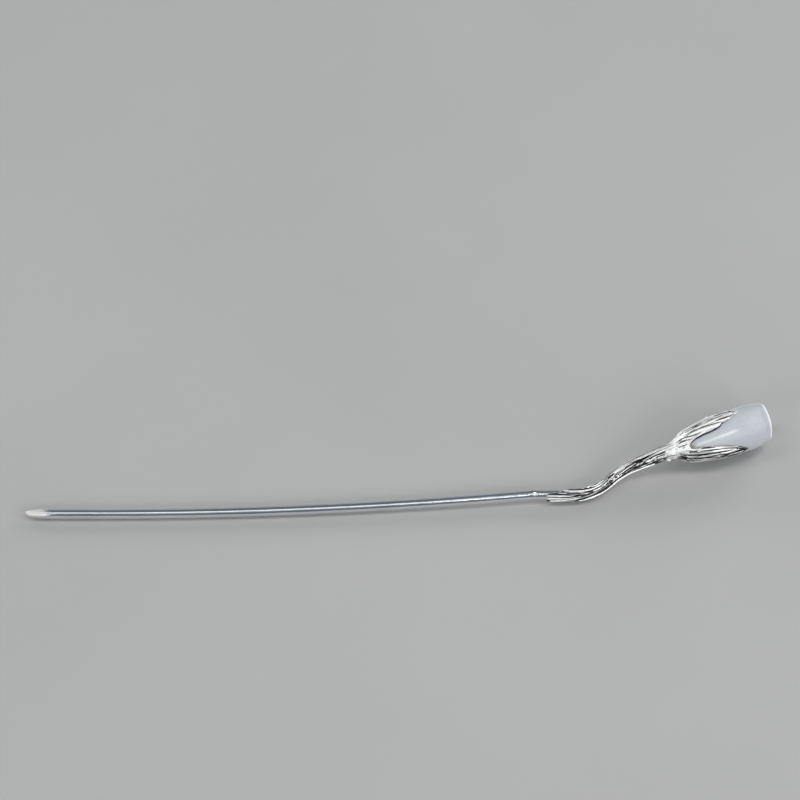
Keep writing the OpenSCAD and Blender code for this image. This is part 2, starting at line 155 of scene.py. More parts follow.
# Fibres of the bark on the side that the photograph shows.
# Columns: half-width, height over the grooves, then distance and direction of each point along it
FIBRES = [
    # Broad tongue over the stub and the strip under it
    [0.34, 0.3, (0.05, 132), (1.5, 133), (3.1, 135), (5.5, 137), (7.4, 134)],
    [0.22, 0.27, (0.1, 158), (2.1, 159), (4.5, 156), (6.2, 150), (8.3, 145)],
    [0.24, 0.33, (0.55, 186), (3.1, 181), (5.5, 172), (7.8, 162), (10.1, 159), (12.1, 149)],
    [0.2, 0.24, (0.15, 204), (2.5, 201), (5, 198), (7.1, 193)],
    # Fibre along the lower edge, with a blunt start
    [0.22, 0.42, (7.3, 203), (8.9, 196), (10.5, 195), (12.5, 196), (14.1, 190), (15.2, 183), (17.8, 178),
     (20, 183), (22.1, 192), (24.4, 198), (27.1, 195), (28.7, 194)],
    # Bright ridge over the first bend, and the small ones beside it
    [0.3, 0.36, (3.6, 79), (5.8, 88), (8, 96), (10.5, 103), (12.1, 105), (13.3, 97), (14.6, 89),
     (16.1, 82)],
    [0.18, 0.24, (2.1, 101), (3.1, 105), (5.5, 114), (7.8, 124), (10.2, 132)],
    [0.16, 0.2, (3.9, 92), (5.8, 101), (8.2, 110), (9.3, 114)],
    [0.2, 0.3, (10.7, 70), (11.6, 76), (12.5, 81), (13.9, 72), (15.3, 63)],
    [0.15, 0.24, (8, 63), (8.8, 67), (9.6, 68)], [0.2, 0.24, (10.7, 130), (12.2, 132), (13.6, 128)],
    # Broad smooth strip along the middle of the twig, and what ends under it
    [0.62, 0.32, (17.4, 74), (20.5, 82), (22.9, 84), (25.5, 87), (28.1, 84), (30.6, 78), (33.3, 65)],
    [0.2, 0.25, (13.2, 112), (15.2, 106), (17, 100), (18.6, 98)],
    [0.18, 0.25, (11.2, 147), (13.2, 142), (14.8, 138)],
    [0.2, 0.3, (18.5, 127), (20.9, 124), (22.8, 119), (24.2, 114)],
    [0.28, 0.34, (25.5, 125), (26.6, 118), (27.8, 111), (29.1, 104), (30.4, 100), (32.1, 99)],
    [0.26, 0.26, (23.4, 142), (24.3, 135), (24.8, 126)],
    [0.13, 0.24, (24.4, 170), (25.8, 171), (27.1, 162), (28.6, 154), (29.4, 149)],
    [0.14, 0.2, (20, 147), (21.6, 147), (23.1, 151)],
    [0.17, 0.25, (26.1, 144), (27.4, 139), (28.5, 132), (29.6, 125)],
    # Fine ribs on the top edge
    [0.11, 0.17, (14.3, 62), (16.8, 57), (20.4, 56), (23.1, 57), (25.9, 60), (29.5, 57)],
    [0.1, 0.15, (13.7, 51), (16.9, 45), (20.5, 44), (23.1, 45), (25.8, 49), (28.4, 48), (30.6, 49)],
    [0.11, 0.15, (15.1, 38), (17.9, 39), (21.6, 39), (24.1, 42), (27.8, 38), (31, 38)],
    [0.1, 0.14, (14, 35), (19, 34), (23, 32), (28, 33)],
    # Knot
    [0.5, 0.3, (31.3, 111), (32.6, 112), (34.3, 116), (35.9, 121)],
    [0.42, 0.32, (31.5, 135), (32.9, 134), (34.5, 137), (36.2, 136)],
    [0.4, 0.3, (32.1, 156), (33.5, 154), (34.7, 149)], [0.34, 0.28, (30.6, 90), (32.6, 89), (34.4, 90)],
    [0.28, 0.3, (30.5, 61), (32.5, 56), (34.5, 53), (36.5, 51)],
    [0.26, 0.28, (30.8, 46), (33, 40), (35, 34)], [0.34, 0.27, (31.4, 172), (33, 173), (34.6, 170)],
    [0.9, 0.14, (33.4, 174), (35.5, 175), (37.8, 176)],
    [0.26, 0.31, (35.5, 137), (36.8, 139), (38.8, 142)],
    [0.26, 0.24, (32.6, 190), (34, 190), (35.2, 194)],
    [0.14, 0.25, (27.8, 128), (29.5, 124), (31.6, 121)],
    [0.12, 0.24, (28.6, 140), (30.2, 138), (31.8, 134)],
    [0.12, 0.24, (29.3, 151), (30.6, 149), (32, 146)],
    [0.18, 0.28, (10.8, 47), (12.8, 52), (14.6, 50), (16.4, 46)],
    [0.3, 0.28, (13.4, 57), (15.5, 59), (17.5, 63), (19.5, 68)],
    # Upper sepal: the free fibre on top, then down to the edge at the bud
    [0.3, 0.4, (34.5, 40), (36.4, 41), (38.8, 47), (41.8, 46), (44.8, 48)],
    [0.32, 0.32, (44.4, 57), (46.5, 60), (48.2, 62), (50.5, 66)],
    [0.46, 0.31, (35, 50), (37.5, 62), (40.4, 63), (43.4, 62), (46, 64)],
    [0.46, 0.34, (33.5, 66), (36.4, 70), (39, 75), (42, 76), (44.8, 76), (47.2, 76), (50.2, 74)],
    [0.44, 0.34, (34.6, 76), (37, 83), (38.5, 87), (40.5, 88), (42.5, 90), (44.5, 92), (46.6, 94)],
    [0.24, 0.33, (44.4, 83), (46, 85), (47.5, 86), (49, 84)],
    [0.36, 0.33, (34.4, 90), (36, 92), (37.4, 97), (39, 99), (40.8, 98), (42.4, 95)],
    [0.32, 0.32, (34.6, 106), (36.2, 108), (38, 108), (40, 107), (41.5, 105), (43, 103), (44.5, 101),
     (45.6, 97)],
    [0.24, 0.3, (34.8, 121), (36.4, 119), (37.6, 113)],
    # Lower sepal, from the edge at the bud down
    [0.24, 0.36, (36.9, 141), (39.1, 145), (42.2, 150), (45.8, 157), (48.8, 167)],
    [0.24, 0.35, (38.2, 153), (40, 151), (41.6, 153), (43.4, 156), (45.6, 159)],
    [0.31, 0.36, (36.4, 156), (38.8, 160), (41, 162), (44, 165), (46.6, 168)],
    [0.33, 0.36, (35.4, 170), (37.5, 172), (39.5, 175), (41.5, 175), (43.5, 174), (45.6, 177),
     (47.6, 175), (49.2, 174)],
    [0.34, 0.34, (35.6, 188), (38.5, 189), (41, 190), (43.2, 187), (44.4, 183)],
    [0.4, 0.3, (33.7, 207), (36.9, 211), (40.6, 199), (44.1, 199), (46.4, 196)],
    [0.18, 0.26, (46.1, 185), (47.9, 186), (50, 184)],
]

# Dark lines between the fibres.
# Columns: half-width before it is widened, depth, then distance and direction of each point
CRACK_WIDENING = 1.6
CRACKS = [
    [0.11, 0.26, (2.9, 145), (5.2, 145), (7.4, 140), (9.2, 139)],
    [0.09, 0.18, (3.9, 124), (5.8, 126), (8, 131), (8.9, 135)],
    [0.09, 0.16, (4.2, 110), (7.2, 116), (9.1, 122)],
    [0.13, 0.28, (7.8, 180), (10, 176), (12.6, 172), (14.1, 165), (15.9, 158), (18.4, 161), (20.4, 160)],
    [0.09, 0.2, (10.8, 115), (12.6, 117), (14.2, 107), (15.9, 97), (16.9, 92)],
    [0.12, 0.28, (20.7, 101), (22.4, 102), (24.2, 99), (25.4, 103), (27.9, 97), (29.5, 91), (31.4, 86)],
    [0.14, 0.28, (24.1, 107), (25.1, 112), (26.1, 108), (27.8, 103)],
    [0.1, 0.22, (19.1, 137), (21.2, 135), (22.9, 133)],
    [0.11, 0.26, (21.2, 159), (23.1, 165), (25.1, 158), (26.9, 153)],
    [0.1, 0.24, (23.8, 180), (26.2, 183), (28.4, 173), (30.4, 168)],
    [0.045, 0.12, (20.4, 87), (22, 90), (25, 93), (27, 91)],
    [0.045, 0.12, (21, 75), (24, 77), (27, 78), (29, 75)],
    [0.15, 0.3, (34.6, 46), (35.8, 52), (36.8, 58), (38.2, 61)],
    [0.16, 0.3, (39.6, 59), (41.5, 57), (43, 54), (45.4, 50)],
    [0.12, 0.28, (37.8, 58), (40, 64), (42.4, 64)], [0.12, 0.28, (44.4, 60), (47.4, 63), (49.8, 67)],
    [0.17, 0.32, (37, 70), (39.2, 70), (40.6, 69), (42.4, 71)],
    [0.19, 0.32, (42, 70), (44.4, 69), (45.3, 70), (47.8, 71)],
    [0.11, 0.26, (37.4, 78), (40.1, 81), (41.9, 82), (43, 84), (44.7, 87), (46, 89), (48.4, 89)],
    [0.15, 0.32, (44.6, 82), (46.4, 81), (47.4, 81), (48.7, 82), (50.4, 79)],
    [0.13, 0.26, (34.4, 79), (36.1, 86), (37.2, 91), (38.3, 94), (39.7, 95), (41.2, 94)],
    [0.11, 0.24, (34.4, 95), (36.1, 98), (37.4, 103), (38.4, 104)],
    [0.09, 0.2, (34.2, 114), (35.8, 117), (36.9, 119)], [0.13, 0.28, (42.5, 97), (43.7, 99), (45, 98)],
    [0.12, 0.26, (38.8, 106), (40.1, 103), (41, 102), (42.6, 102)],
    [0.12, 0.26, (48.8, 67), (49.9, 69), (50.8, 76)],
    [0.12, 0.26, (36.2, 150), (37.2, 151), (38.5, 149), (40.1, 146), (41.9, 150), (43.2, 152)],
    [0.12, 0.26, (39.4, 155), (41, 156), (42.4, 158), (44, 160), (45.6, 163), (46.8, 163)],
    [0.16, 0.3, (35.5, 160), (37.2, 164), (38.5, 167), (39.7, 168), (41, 167), (43.1, 170),
     (44.6, 170), (46.3, 172)],
    [0.19, 0.32, (37.1, 180), (39.6, 182), (41, 182), (42.6, 179), (43.7, 177), (44.6, 179),
     (45.6, 183), (46.4, 181), (47.8, 179), (49.2, 178)],
    [0.12, 0.26, (34.6, 176), (35.6, 178), (36.9, 180)],
    [0.14, 0.28, (35.2, 196), (36.9, 197), (37.8, 199), (39.4, 194)],
    [0.12, 0.26, (47.6, 168), (49.4, 177), (50.4, 184)],
]

# Pits and hollows. Columns: distance, direction, half-length, half-width, depth, darkness
PITS = [
    [25.2, 115, 0.35, 0.2, 0.3, 1], [24.6, 160, 0.4, 0.22, 0.24, 1], [22.9, 157, 0.3, 0.18, 0.2, 0.9],
    [21, 142, 0.3, 0.16, 0.18, 0.8], [29.2, 138, 0.4, 0.2, 0.26, 1], [30.7, 114, 0.24, 0.18, 0.2, 0.8],
    [31, 137, 0.3, 0.18, 0.2, 1], [30.6, 161, 0.3, 0.16, 0.22, 1], [31.6, 156, 0.3, 0.18, 0.2, 1],
    [31.9, 148, 0.3, 0.15, 0.18, 0.9], [30.9, 167, 0.5, 0.24, 0.2, 1], [31.5, 172, 0.32, 0.2, 0.18, 0.9],
    [31.8, 130, 0.26, 0.13, 0.16, 0.8], [33.3, 151, 0.22, 0.14, 0.14, 0.8],
    [30.2, 131, 0.18, 0.11, 0.16, 0.9], [29.9, 147, 0.34, 0.18, 0.22, 0.9],
    [32.6, 142, 0.3, 0.17, 0.16, 0.9], [34, 132, 0.16, 0.12, 0.08, 0.4], [34.5, 147, 0.2, 0.12, 0.1, 0.5],
    [33.3, 121, 0.18, 0.12, 0.07, 0.4], [35.6, 184, 0.7, 0.3, 0.05, 0.5],
    [33.9, 190, 0.5, 0.24, 0.14, 0.4], [42.7, 70, 0.35, 0.2, 0.2, 1], [47.7, 89, 0.5, 0.2, 0.16, 1],
    [44.7, 188, 0.75, 0.28, 0.2, 1], [46.7, 162, 0.35, 0.19, 0.18, 1], [48.1, 173, 0.35, 0.18, 0.16, 1],
    [50.1, 181, 0.6, 0.22, 0.1, 0.9], [45.2, 47, 0.55, 1.7, 0.4, 0.3], [49.9, 75, 0.6, 0.2, 0.1, 0.9],
    [35.8, 126, 0.3, 0.16, 0.1, 0.3],
]

# Knobs that stand out. Columns: distance, direction, half-length, half-width, height
KNOBS = [
    [10.3, 63, 0.75, 0.42, 0.3], [32.1, 206, 0.62, 0.62, 0.62], [31.7, 192, 0.4, 0.4, 0.22],
    [2.5, 134, 1.1, 0.42, 0.06], [44, 43, 0.9, 0.55, 0.36], [46.7, 53, 1.1, 0.6, 0.18],
    [33, 125, 2.2, 1.2, 0.1],
]

# Meshes: columns in one sepal, rows along the twig, the calyx base and the sepals
SEPAL_COLS = 66
RING_COLS = 3 * SEPAL_COLS
TWIG_ROWS = 216
CALYX_ROWS = 34
SEPAL_ROWS = 78
BUD_COLS = 168
SHAFT_COLS = 72
SHAFT_ROWS = 544

# Bark: depth of its grooves, its twist along the twig, where its first column lies, the length of the
# first rows of TWIG, how many of them the mouth's steps reach, and the least wall round the socket
GROOVE_DEPTH = 0.25
TWIST = 30.0
RING_START = 8.0
ROW_LEN = 3.9
MOUTH_FADE = 4.0
WALL_MIN = 0.08

# Sepals: distances of their notches and tips along the head, and their least thickness
NOTCH_S = 4.4
TIP_S = 18.35
SEPAL_MIN = 0.1

# Darkness of each sepal's tip, its middle and its width as shares of the sepal's half-width
TIP_TONES = ((0.8, -0.1, 0.22), (0.4, -0.3, 0.15), (0.8, -0.1, 0.22))

# Painted shade on each sepal's inner side, along its two edges and between them
EDGE_SHADES = ((0.6, 1.0), (0.1, 0.6), (0.6, 0.6))
INNER_SHADE = 0.35

# Gap round the bud in the source, and the smaller one here. The post, its cup and the stub's socket
BUD_GAP = 0.12
SCENE_GAP = 0.05
POST_R = 0.6
POST_LEN = 5.0
CUP_FLOOR = 3.58
CUP_RING = CUP_FLOOR + 0.07
SOCKET_GAP = 0.04
SOCKET_R = SHAFT_R + SOCKET_GAP

# Fibres that are grown by a rule: how many on the twig and on a sepal, and where the twig's end
TWIG_FIBRES = 330
SEPAL_FIBRES = 44
TWIG_FIBRES_END = 37.4

# First ring on the side of the shaft, and the length over which its rings lean with the cut
FIRST_RING = 0.13
LEAN_LEN = 6.0


def ease(v):
    """Smooth step: 0 up to 0, and 1 from 1 on."""
    x = np.clip(v, 0.0, 1.0)
    return x * x * (3 - 2 * x)


def turn(a, b):
    """Signed turn from direction b to direction a, in degrees."""
    return (a - b + 180) % 360 - 180


def near(x, middle, half, fade):
    """1 round the middle and 0 beyond half, with a fade between."""
    return ease((half - np.abs(x - middle)) / fade)


def facing(direction, middle, half, fade):
    """The same as near, for directions."""
    return near(turn(direction, middle), 0, half, fade)


def curve(rows, t):
    """A smooth curve through the rows of a table: t counts rows."""
    last = len(rows) - 1
    i = np.clip(np.floor(t).astype(int), 0, last - 1)
    f = (t - i)[..., None]
    p0, p1 = rows[np.maximum(i - 1, 0)], rows[i]
    p2, p3 = rows[i + 1], rows[np.minimum(i + 2, last)]
    return p1 + f / 2 * (p2 - p0 + f * (2 * p0 - 5 * p1 + 4 * p2 - p3 + f * (3 * (p1 - p2) + p3 - p0)))


def around(centre, axis, radius, direction):
    """Points at a radius and a direction round an axis."""
    side = np.stack([-axis[..., 1], axis[..., 0], np.zeros_like(axis[..., 0])], -1)
    side /= np.linalg.norm(side, axis=-1, keepdims=True)
    rise = np.cross(axis, side)
    a = np.radians(direction)[..., None]
    return centre + radius[..., None] * (np.cos(a) * side + np.sin(a) * rise)


def on_head(s, radius, direction):
    """Points round the head, at a distance s from its base."""
    s, radius, direction = np.broadcast_arrays(s, radius, direction)
    return around(HEAD_BASE + s[..., None] * HEAD_DIR, HEAD_DIR, radius, direction)


def unrolled(distance, angle, radius):
    """Coordinates for noise that runs along the bark. The angle is in radians."""
    return np.stack([distance, np.cos(angle) * radius, np.sin(angle) * radius], -1)


def noise(points, seed):
    """Smooth noise from -1 to 1, with one cell to a unit and a fixed seed."""
    cells = 32
    table = np.random.default_rng(seed).uniform(-1, 1, (cells, cells, cells))
    base = np.floor(points).astype(int)
    f = points - base
    f = f * f * (3 - 2 * f)
    total = 0.0
    for corner in np.ndindex(2, 2, 2):
        weight = np.prod(np.where(corner, f, 1 - f), axis=-1)
        at = (base + np.array(corner)) % cells
        total = total + weight * table[at[..., 0], at[..., 1], at[..., 2]]
    return total


def line_noise(x, seed):
    """The same noise along one line."""
    return noise(np.stack([x, np.full_like(x, 0.37), np.full_like(x, 0.71)], -1), seed)


# Path of the closed stretch of bark, and distance along it for each place in its table
PATH = np.vstack([
    np.column_stack([TWIG[:, :3] + BEND_END, TWIG[:, 3]]),
    np.column_stack([HEAD_BASE + CALYX[:, :1] * HEAD_DIR, CALYX[:, 1]]),
])
PATH_LAST = len(PATH) - 1
TWIG_LAST = len(TWIG) - 1
PLACES = np.linspace(0, PATH_LAST, 4000)
STEPS = np.linalg.norm(np.diff(curve(PATH, PLACES)[:, :3], axis=0), axis=1)
DISTANCES = np.concatenate([[0], np.cumsum(STEPS)])
HEAD_AT = float(np.interp(TWIG_LAST, PLACES, DISTANCES))
NOTCH_AT = DISTANCES[-1]

# Smooth outline of the bud, in the order of its distances along the head
BUD_SIDE = curve(BUD, np.linspace(0, len(BUD) - 1, 1200))
BUD_SIDE = BUD_SIDE[BUD_SIDE[:, 0].argsort()]


def soft_edges(direction):
    """The bud's six soft edges, as a factor on its radius."""
    return 1 + BUD_EDGE * np.cos(np.radians(6 * (direction - BUD_EDGE_AT)))


def ridge_way(s):
    """Direction of the crisp ridge that faces up, which drifts to one side as it fades."""
    return 133 - 0.58 * (s - 1.0)


def bud_radius(s, direction):
    """Radius of the bud's side, with a crisp ridge on each edge near the sepals."""
    radius = np.interp(s, BUD_SIDE[:, 0], BUD_SIDE[:, 1]) - BUD_INSET
    off = turn(direction, ridge_way(s))
    crisp = 0.05 * np.exp(-(off / 4.0) ** 2) * ease((18.5 - s) / 8) * ease((s - 5) / 2)
    off = (direction - BUD_EDGE_AT + 30) % 60 - 30
    other = 0.035 * np.exp(-(off / 5.0) ** 2) * ease((24.5 - s) / 6) * ease((s - 5) / 3)
    return radius * soft_edges(direction) + np.where(np.abs(turn(direction, 128)) < 25, crisp, other)


def edge_at(k, s, which):
    """Direction of a sepal's side edge, with its small teeth."""
    rows = np.array(SEPAL_EDGES[k])
    plain = np.interp(s, rows[:, 0], rows[:, which])
    seed = 3 * k + which
    ragged = 0.9 * line_noise(2.6 * s + 7 * k, 40 + seed) + 0.5 * line_noise(6.5 * s, 60 + seed)
    return plain + ragged * ease((s - 5.6) / 1.5) * ease((TIP_S - s) / 0.6)


def grown_fibres():
    """Fibres for the whole bark, which the ones read off the photograph then lie over."""
    rng = np.random.default_rng(12)
    fibres = []
    for n in range(TWIG_FIBRES):
        start = rng.uniform(-4.0, 31.0)
        length = rng.uniform(5.0, 13.0)
        places = np.linspace(start, min(start + length, TWIG_FIBRES_END), 7)
        heading = rng.uniform(0, 360)
        twist = TWIST * (1 - ease(places / HEAD_AT)) + rng.uniform(-5, 5) * np.linspace(-1, 1, 7)
        bends = 3.0 * line_noise(places * 0.4 + 11 * n, 5)
        height = rng.uniform(0.17, 0.3)
        fibres.append([rng.uniform(0.12, 0.24), height, *zip(places, heading + twist + bends)])
    lanes = SEPAL_FIBRES // 2
    for k in range(3):
        for n in range(SEPAL_FIBRES):
            start = rng.uniform(32.5, 46.0)
            length = rng.uniform(5.0, 14.0)
            places = np.linspace(start, min(start + length, NOTCH_AT + TIP_S - NOTCH_S - 0.4), 8)
            s = np.maximum(places - NOTCH_AT + NOTCH_S, NOTCH_S)
            share = (n % lanes + rng.uniform(0.1, 0.9)) / lanes
            low, high = edge_at(k, s, 1), edge_at(k, s, 2)
            heading = low + share * (high - low) + 1.2 * line_noise(places * 0.5 + 9 * n, 6)
            height = rng.uniform(0.16, 0.27)
            fibres.append([rng.uniform(0.18, 0.32), height, *zip(places, heading)])
    return fibres


def shown_side(distance, direction):
    """1 on the side that the photograph shows, 0 on the side that it hides."""
    return facing(direction, 125 - 3 * ease((distance - 32) / 3), 95, 20)


def bark_relief(distance, direction, radius):
    """Height of the bark over its groove floor, its darkness, which is blackening and painted shade, and its
    shine, which is wear and partly painted light, for arrays of places.
    """
    grid = distance.shape
    distance, direction, radius = distance.ravel(), direction.ravel(), radius.ravel()
    relief, dark, worn = np.zeros((3, len(distance)))

    def strip(points, half_width, narrowing, fade):
        """Places under a strip, and its rounded section there, which fades out over its ends."""
        points = np.array(points, float)
        x0, x1 = points[0, 0], points[-1, 0]
        under = np.flatnonzero((distance > x0) & (distance < x1))
        x = distance[under]
        heading = np.interp(x, points[:, 0], points[:, 1])
        across = np.radians(turn(direction[under], heading)) * radius[under]
        along = (x - x0) / (x1 - x0)
        swell = 1 + 0.16 * line_noise(x * 0.9 + 13 * points[0, 1], 8)
        width = half_width * swell * (1 - narrowing * np.abs(2 * along - 1) ** 3)
        ends = ease(np.minimum(x - x0, x1 - x) / fade)
        q2 = (across / width) ** 2
        hit = q2 < 1
        return under[hit], np.sqrt(1 - q2[hit]) * ends[hit]

    def offsets(at_distance, at_direction, half_length, half_width):
        """How far each place is along and across from the middle of a spot, in half sizes."""
        along = (distance - at_distance) / half_length
        across = np.radians(turn(direction, at_direction)) * radius / half_width
        return along, across

    # The grown fibres stand lower on the side that shows
    shown = shown_side(distance, direction)
    on_twig = ease((31 - distance) / 2)
    for half_width, height, *points in grown_fibres():
        at, shape = strip(points, half_width, 0.55, 1.6)
        lowered = (0.3 + 0.07 * on_twig[at]) * shown[at]
        relief[at] = np.maximum(relief[at], height * shape * (1 - lowered))
    for half_width, height, *points in FIBRES:
        at, shape = strip(points, half_width, 0.25, 0.5 if half_width < 0.32 else 1.1)
        relief[at] = np.maximum(relief[at], height * shape)
        bright = min(max((height - 0.2) / 0.08, 0), 1)
        worn[at] = np.maximum(worn[at], ease(1.5 * shape) * bright)
    for half_width, depth, *points in CRACKS:
        at, shape = strip(points, CRACK_WIDENING * half_width, 0.7, 0.8)
        relief[at] = relief[at] - depth * shape
        shape = np.minimum(1, shape * (1 + 0.9 * ease((distance[at] - 33) / 2)))
        dark[at] = np.maximum(dark[at], shape)
        worn[at] = worn[at] * (1 - shape)
    for *spot, depth, darkness in PITS:
        along, across = offsets(*spot)
        away = np.sqrt(along ** 2 + across ** 2) * (1 + 0.35 * line_noise(np.degrees(across) * 0.05, 9))
        relief = relief - depth * ease(1.25 * (1 - away))
        dark = np.maximum(dark, darkness * ease(1.6 * (1 - away)))
    relief = np.clip(relief, -0.05, 0.42)
    for *spot, height in KNOBS:
        along, across = offsets(*spot)
        relief = relief + height * ease(1 - np.sqrt(along ** 2 + across ** 2))

    # Rough mottled patches, the knot's lumps, and a grain all over
    spots = unrolled(distance, np.radians(direction), radius)
    patch = near(distance, 16.2, 3.4, 1.2) * facing(direction, 128, 32, 14)
    second = near(distance, 27.4, 4.2, 1.4) * facing(direction, 146, 26, 12)
    patch = np.maximum(patch, 0.7 * second)
    lumps = noise(spots * [2.8, 4.4, 4.4], 21)
    relief = relief * (1 - 0.45 * patch) + patch * (0.1 + 0.07 * lumps)
    dark = np.maximum(dark, patch * ease(-1.8 * lumps - 0.25))
    knot = near(distance, 34.5, 4.0, 2.5) * facing(direction, 126, 40, 16)
    relief = relief * (1 - 0.5 * knot) + knot * (0.12 + 0.035 * noise(spots * [2.6, 2.6, 2.6], 23))
    relief = relief + 0.022 * noise(spots * [1.1, 5.0, 5.0], 22) * (1 - knot)
    # Blackening and painted shade in the low places between the fibres
    low = ease((0.22 + 0.045 * on_twig - relief) / 0.15)

    # The knot is worn bright, and these places are made bright too, each to its own share; on the upper
    # sepal and the top edge the lighter colour is partly painted light
    upper_sepal = ease((distance - 31) / 3) * facing(direction, 72, 54, 14)
    under_knot = near(distance, 32.9, 1.9, 0.9) * facing(direction, 180, 34, 14)
    top_edge = ease((32 - distance) / 2) * ease((distance - 5) / 3) * facing(direction, 46, 26, 12)
    tongue = ease((5 - distance) / 2) * facing(direction, 148, 30, 8)
    lower_sepal = ease((distance - 36) / 3) * facing(direction, 188, 50, 14)
    places = (upper_sepal, under_knot, top_edge, tongue, worn, lower_sepal)
    shine = knot
    for place, share in zip(places, (0.85, 0.7, 0.5, 0.6, 0.7, 0.12)):
        shine = np.maximum(shine, share * place)
    groove = np.maximum(low * (1 - 0.85 * shine), dark * (1 - 0.1 * shine))
    return [values.reshape(grid) for values in (relief, groove, shine)]


def creases(relief, step):
    """How sharply the relief dips between its neighbours across the fibres, for rows of places."""
    reach = max(1, int(round(0.11 / float(np.mean(step)))))
    before, after = np.roll(relief, reach, axis=1), np.roll(relief, -reach, axis=1)
    dip = (before + after - 2 * relief) / (step * reach)
    dip = (np.roll(dip, 1, axis=1) + 2 * dip + np.roll(dip, -1, axis=1)) / 4
    return ease((dip - 0.2) / 0.75)


# The part's origin lies under the middle of its box, so the frame gives the shift
SHAFT_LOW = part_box("shaft")[0]
MIDDLE = np.array([-SHAFT_LOW.x / MM, -SHAFT_R - SHAFT_LOW.y / MM, 0.0])


def add_object(name, data):
    """A new object in the scene."""
    thing = bpy.data.objects.new(name, data)
    bpy.context.scene.collection.objects.link(thing)
    return thing


def make_mesh(name, points, quads, triangles, values):
    """A smooth mesh from points in millimetres, moved into the part's frame."""
    faces = quads[:, ::-1].tolist() + triangles[:, ::-1].tolist()
    mesh = bpy.data.meshes.new(name)
    mesh.from_pydata(((points - MIDDLE) * MM).tolist(), [], faces, shade_flat=False)
    mesh.validate()
    for key, value in values.items():
        kind, field = ("FLOAT_VECTOR", "vector") if value.ndim == 2 else ("FLOAT", "value")
        layer = mesh.attributes.new(key, kind, "POINT")
        layer.data.foreach_set(field, value.astype(np.float32).ravel())
    return add_object(name, mesh)


def tube(rings, ends):
    """Points, quads and triangles of a tube of rings, closed by a fan at each end."""
    columns = len(rings[0])
    col = np.arange(columns)
    nxt = (col + 1) % columns
    starts = columns * np.arange(len(rings))
    quads = [np.stack([a + col, a + nxt, b + nxt, b + col], -1) for a, b in zip(starts[:-1], starts[1:])]
    end = np.full(columns, columns * len(rings))
    fans = [
        np.stack([end, nxt, col], -1),
        np.stack([end + 1, starts[-1] + col, starts[-1] + nxt], -1),
    ]
    return np.vstack([*rings, *ends]), np.vstack(quads), np.vstack(fans)


def closed_bark():
    """Rings of the bark from its ragged mouth to the notches between the sepals, and their values."""
    twig_l = np.linspace(0, HEAD_AT, TWIG_ROWS + 1)
    base_l = np.linspace(HEAD_AT, NOTCH_AT, CALYX_ROWS + 1)[1:]
    place = np.interp(np.concatenate([twig_l, base_l]), DISTANCES, PLACES)[:, None]
    col = np.arange(RING_COLS)[None, :]
    direction = RING_START + 360 * col / RING_COLS + TWIST * (1 - ease(place / TWIG_LAST))
    step = np.interp(direction % 360, MOUTH[:, 0], MOUTH[:, 1]) / ROW_LEN
    t = place + step * np.maximum(0, 1 - place / MOUTH_FADE)
    row = curve(PATH, t)
    ahead = curve(PATH, np.minimum(t + 0.01, PATH_LAST)) - curve(PATH, np.maximum(t - 0.01, 0))
    axis = ahead[..., :3] / np.linalg.norm(ahead[..., :3], axis=-1, keepdims=True)
    distance = np.interp(t, PLACES, DISTANCES)
    relief, groove, shine = bark_relief(distance, direction, row[..., 3])
    # Painted shade where the relief creases between the fibres
    groove = np.maximum(groove, creases(relief, row[..., 3] * 2 * math.pi / RING_COLS) * (1 - 0.6 * shine))
    # The mouth's edge is rounded
    from_mouth = np.interp(place, PLACES, DISTANCES)
    relief = relief - 0.1 * ease(1 - from_mouth / 0.3)
    radius = np.maximum(row[..., 3] - GROOVE_DEPTH + relief, SOCKET_R + WALL_MIN)
    rings = around(row[..., :3], axis, radius, direction)
    fibre = unrolled(distance, np.radians(direction - TWIST * (1 - ease(distance / HEAD_AT))), radius)
    return direction, rings, groove, shine, fibre


